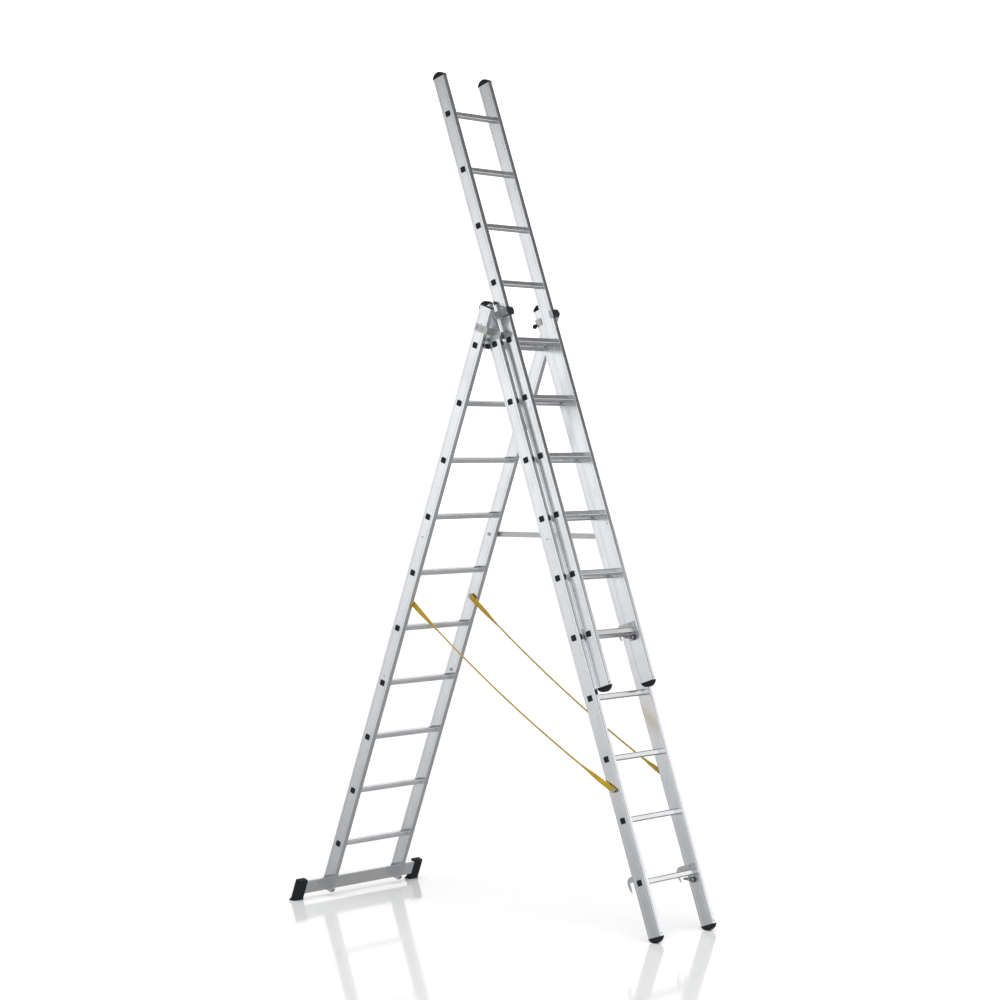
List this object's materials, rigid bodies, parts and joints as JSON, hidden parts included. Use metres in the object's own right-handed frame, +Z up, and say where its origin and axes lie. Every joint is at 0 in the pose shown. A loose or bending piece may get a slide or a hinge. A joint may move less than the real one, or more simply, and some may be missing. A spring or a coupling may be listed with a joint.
{
  "type": "extension ladder",
  "caption": "Three-section aluminium combination ladder standing as an A-frame, with the inner section slid up, a stabiliser bar, side straps and a folding stay.",
  "frame": {"origin": "on the floor, under the middle of the box round the standing ladder", "axes": "+X to the right along the rungs seen from the front leg, +Y from the front leg to the rear leg, +Z up"},
  "size_m": [0.886, 2.0294, 3.9129],
  "materials": {
    "stile_aluminium": "satin extruded, lengthwise drawing lines",
    "rung_aluminium": "satin extruded, ribbed",
    "bar_aluminium": "satin extruded",
    "zinc_steel": "zinc plated, matt",
    "fixing_steel": "zinc plated",
    "black_plastic": "fine grained",
    "black_rubber": "matt moulded",
    "yellow_webbing": "woven"
  },
  "bodies": {
    "front": {"front_stile_left": "stile_aluminium", "front_stile_right": "stile_aluminium", "front_rung_1": "rung_aluminium", "front_rung_2": "rung_aluminium", "front_rung_3": "rung_aluminium", "front_rung_4": "rung_aluminium", "front_rung_5": "rung_aluminium", "front_rung_6": "rung_aluminium", "front_rung_7": "rung_aluminium", "front_rung_8": "rung_aluminium", "front_rung_9": "rung_aluminium", "front_rung_10": "rung_aluminium", "front_rung_plugs": "black_plastic", "front_end_caps": "black_plastic", "hinge_plates": "zinc_steel", "front_pads": "black_plastic", "fly_guides": "zinc_steel", "front_hooks": "zinc_steel", "front_fixings": "fixing_steel"},
    "rear": {"rear_stile_left": "stile_aluminium", "rear_stile_right": "stile_aluminium", "rear_rung_1": "rung_aluminium", "rear_rung_2": "rung_aluminium", "rear_rung_3": "rung_aluminium", "rear_rung_4": "rung_aluminium", "rear_rung_5": "rung_aluminium", "rear_rung_6": "rung_aluminium", "rear_rung_7": "rung_aluminium", "rear_rung_8": "rung_aluminium", "rear_rung_9": "rung_aluminium", "rear_rung_10": "rung_aluminium", "rear_plugs": "black_plastic", "stabiliser_bar": "bar_aluminium", "stabiliser_feet": "black_rubber", "hinge_pins": "zinc_steel", "rear_guides": "zinc_steel", "rear_fixings": "fixing_steel", "strap_left": "yellow_webbing", "strap_right": "yellow_webbing"},
    "fly": {"fly_stile_left": "stile_aluminium", "fly_stile_right": "stile_aluminium", "fly_rung_1": "rung_aluminium", "fly_rung_2": "rung_aluminium", "fly_rung_3": "rung_aluminium", "fly_rung_4": "rung_aluminium", "fly_rung_5": "rung_aluminium", "fly_rung_6": "rung_aluminium", "fly_rung_7": "rung_aluminium", "fly_rung_8": "rung_aluminium", "fly_rung_9": "rung_aluminium", "fly_rung_10": "rung_aluminium", "fly_rung_plugs": "black_plastic", "fly_end_caps": "black_plastic", "fly_hooks": "zinc_steel", "fly_fixings": "fixing_steel"},
    "front_latch_left": {"front_latch_left": "zinc_steel"},
    "front_latch_right": {"front_latch_right": "zinc_steel"},
    "fly_latch_left": {"fly_latch_left": "zinc_steel"},
    "fly_latch_right": {"fly_latch_right": "zinc_steel"},
    "stay_bar": {"stay": "zinc_steel"}
  },
  "joints": [
    {"name": "fold", "type": "hinge", "parent": "front", "child": "rear", "pos_m": [0, -0.02456, 2.6577], "axis": [1, 0, 0], "range_deg": [-38.2, 0], "deforming": ["strap_left", "strap_right"]},
    {"name": "fly_slide", "type": "slide", "parent": "front", "child": "fly", "axis": [0, 0.3289, 0.9444], "range_m": [-1.12, 0.56]},
    {"name": "stay_swing", "type": "hinge", "parent": "rear", "child": "stay_bar", "pos_m": [0.2585, 0.33049, 1.74829], "axis": [-1, 0, 0], "range_deg": [0, 70]},
    {"name": "front_latch_left_turn", "type": "hinge", "parent": "front", "child": "front_latch_left", "pos_m": [-0.1802, -0.90959, 0.22388], "axis": [-1, 0, 0], "range_deg": [0, 45], "stiffness_Nm_per_rad": 0.02, "springref_deg": -34.38},
    {"name": "front_latch_right_turn", "type": "hinge", "parent": "front", "child": "front_latch_right", "pos_m": [0.1802, -0.90959, 0.22388], "axis": [-1, 0, 0], "range_deg": [0, 45], "stiffness_Nm_per_rad": 0.02, "springref_deg": -34.38},
    {"name": "fly_latch_left_turn", "type": "hinge", "parent": "fly", "child": "fly_latch_left", "pos_m": [-0.1452, -0.59792, 1.30131], "axis": [-1, 0, 0], "range_deg": [0, 45], "stiffness_Nm_per_rad": 0.02, "springref_deg": -34.38},
    {"name": "fly_latch_right_turn", "type": "hinge", "parent": "fly", "child": "fly_latch_right", "pos_m": [0.1452, -0.59792, 1.30131], "axis": [-1, 0, 0], "range_deg": [0, 45], "stiffness_Nm_per_rad": 0.02, "springref_deg": -34.38}
  ]
}
